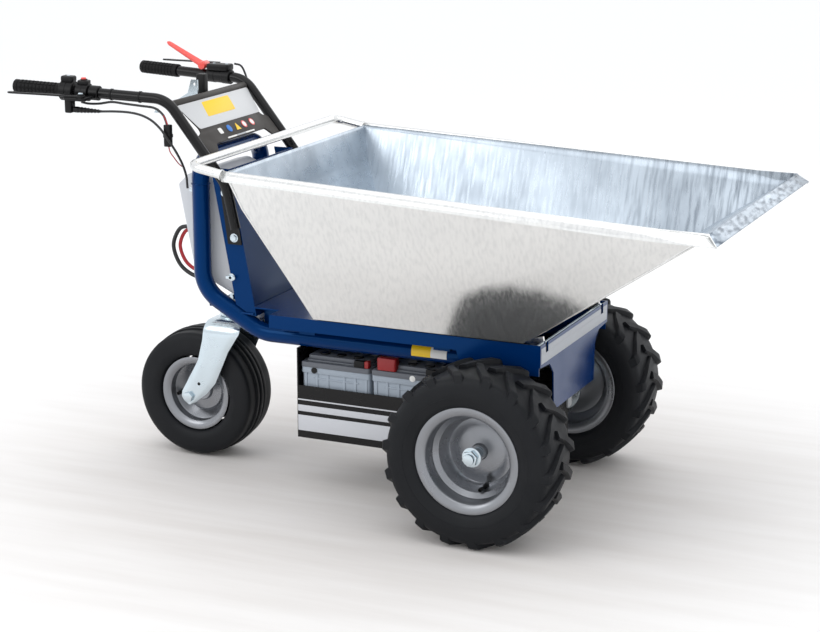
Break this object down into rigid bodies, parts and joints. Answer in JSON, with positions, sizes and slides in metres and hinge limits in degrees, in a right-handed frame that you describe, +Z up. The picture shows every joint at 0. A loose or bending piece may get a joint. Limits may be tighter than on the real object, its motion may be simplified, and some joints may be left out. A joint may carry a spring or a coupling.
{
  "type": "power wheelbarrow",
  "caption": "Battery power wheelbarrow: galvanised tipping tub on a bent-tube frame, two driven lugged wheels, a rear caster and twist-throttle handlebars.",
  "frame": {"origin": "on the ground under the middle of the whole machine's box", "axes": "+X forward, the way the tub tips; +Y the operator's left; +Z up"},
  "size_m": [1.7841, 0.804, 0.9987],
  "materials": {
    "blue_paint": "gloss powder coat",
    "galvanised": "hot-dip galvanised, mottled and streaked",
    "zinc": "bright zinc plate",
    "rim_paint": "silver paint",
    "tyre": "matt rubber",
    "black_plastic": "moulded, lightly grained",
    "black_paint": "semi-gloss paint",
    "grey_cover": "smooth moulded",
    "dash_plastic": "fine grained",
    "red_plastic": "gloss",
    "battery_case": "translucent polypropylene",
    "cast_metal": "as cast",
    "cable_black": "extruded",
    "cable_red": "extruded"
  },
  "bodies": {
    "chassis": {"frame_tube_left": "blue_paint", "frame_tube_right": "blue_paint", "frame_hoop": "blue_paint", "bulkhead": "blue_paint", "side_member_left": "blue_paint", "side_member_right": "blue_paint", "front_plate": "blue_paint", "bed_plate": "blue_paint", "caster_bracket": "blue_paint", "swivel_race": "zinc", "rear_cover": "grey_cover", "motor_controller": "cast_metal", "battery_tray": "black_paint", "battery_rear": "battery_case", "battery_front": "battery_case", "transaxle": "cast_metal", "drive_motor": "black_paint", "hinge_pin": "zinc", "handle_bracket_left": "black_paint", "handle_bracket_right": "black_paint", "handle_bolt_left_upper": "zinc", "handle_bolt_left_lower": "zinc", "handle_bolt_right_upper": "zinc", "handle_bolt_right_lower": "zinc", "handlebar_left": "black_paint", "handlebar_right": "black_paint", "grip_left": "black_plastic", "throttle_housing": "black_plastic", "switch_housing": "black_plastic", "brake_perch": "black_plastic", "cable_boot": "black_plastic", "clamp_housing": "black_plastic", "dash_panel": "dash_plastic", "latch_bracket": "zinc", "brake_cable": "cable_black", "harness": "cable_black", "connector_lead": "black_plastic", "battery_lead_black": "cable_black", "battery_lead_red": "cable_red", "left_cable": "cable_black"},
    "tub_body": {"tub": "galvanised", "tub_handle_bar": "galvanised", "hinge_lug_left": "galvanised", "hinge_lug_right": "galvanised"},
    "wheel_left": {"front_rim_left": "rim_paint", "front_tyre_left": "tyre", "wheel_shaft_left": "zinc"},
    "wheel_right": {"front_rim_right": "rim_paint", "front_tyre_right": "tyre", "wheel_shaft_right": "zinc"},
    "caster": {"caster_fork": "zinc", "caster_axle": "zinc"},
    "caster_wheel": {"caster_rim": "rim_paint", "caster_tyre": "tyre"},
    "throttle": {"throttle_grip": "black_plastic"},
    "button": {"run_button": "red_plastic"},
    "brake": {"brake_lever": "black_paint"},
    "parking": {"parking_lever": "red_plastic"},
    "release": {"release_lever": "black_paint"},
    "latch": {"latch_lever": "black_paint"}
  },
  "joints": [
    {"name": "tub_tip", "type": "hinge", "parent": "chassis", "child": "tub_body", "pos_m": [0.44645, 0, 0.424], "axis": [0, 1, 0], "range_deg": [0, 65]},
    {"name": "wheel_left_spin", "type": "hinge", "parent": "chassis", "child": "wheel_left", "pos_m": [0.35245, 0.32, 0.203], "axis": [0, 1, 0], "continuous": true},
    {"name": "wheel_right_spin", "type": "hinge", "parent": "chassis", "child": "wheel_right", "pos_m": [0.35245, -0.32, 0.203], "axis": [0, 1, 0], "continuous": true},
    {"name": "caster_swivel", "type": "hinge", "parent": "chassis", "child": "caster", "pos_m": [-0.43255, 0, 0.36], "axis": [0, 0, 1], "continuous": true},
    {"name": "caster_roll", "type": "hinge", "parent": "caster", "child": "caster_wheel", "pos_m": [-0.51615, 0, 0.1605], "axis": [0, 1, 0], "continuous": true},
    {"name": "throttle_twist", "type": "hinge", "parent": "chassis", "child": "throttle", "pos_m": [-0.82755, -0.21848, 0.92609], "axis": [-0.9958, -0.0846, 0.0339], "range_deg": [0, 60], "stiffness_Nm_per_rad": 0.3},
    {"name": "button_press", "type": "slide", "parent": "chassis", "child": "button", "axis": [0, 0, -1], "range_m": [0, 0.003], "stiffness_N_per_m": 400},
    {"name": "brake_pull", "type": "hinge", "parent": "chassis", "child": "brake", "pos_m": [-0.68155, -0.26173, 0.92099], "axis": [0, 0, -1], "range_deg": [0, 5], "stiffness_Nm_per_rad": 8},
    {"name": "parking_pull", "type": "hinge", "parent": "chassis", "child": "parking", "pos_m": [-0.61255, 0.19765, 0.94226], "axis": [0, -1, 0], "range_deg": [0, 20]},
    {"name": "release_pull", "type": "hinge", "parent": "chassis", "child": "release", "pos_m": [-0.59455, 0.22765, 0.94526], "axis": [0, 0, 1], "range_deg": [0, 8], "stiffness_Nm_per_rad": 2},
    {"name": "latch_pull", "type": "hinge", "parent": "chassis", "child": "latch", "pos_m": [-0.51855, 0.022, 0.832], "axis": [0, -1, 0], "range_deg": [0, 15], "stiffness_Nm_per_rad": 2}
  ]
}
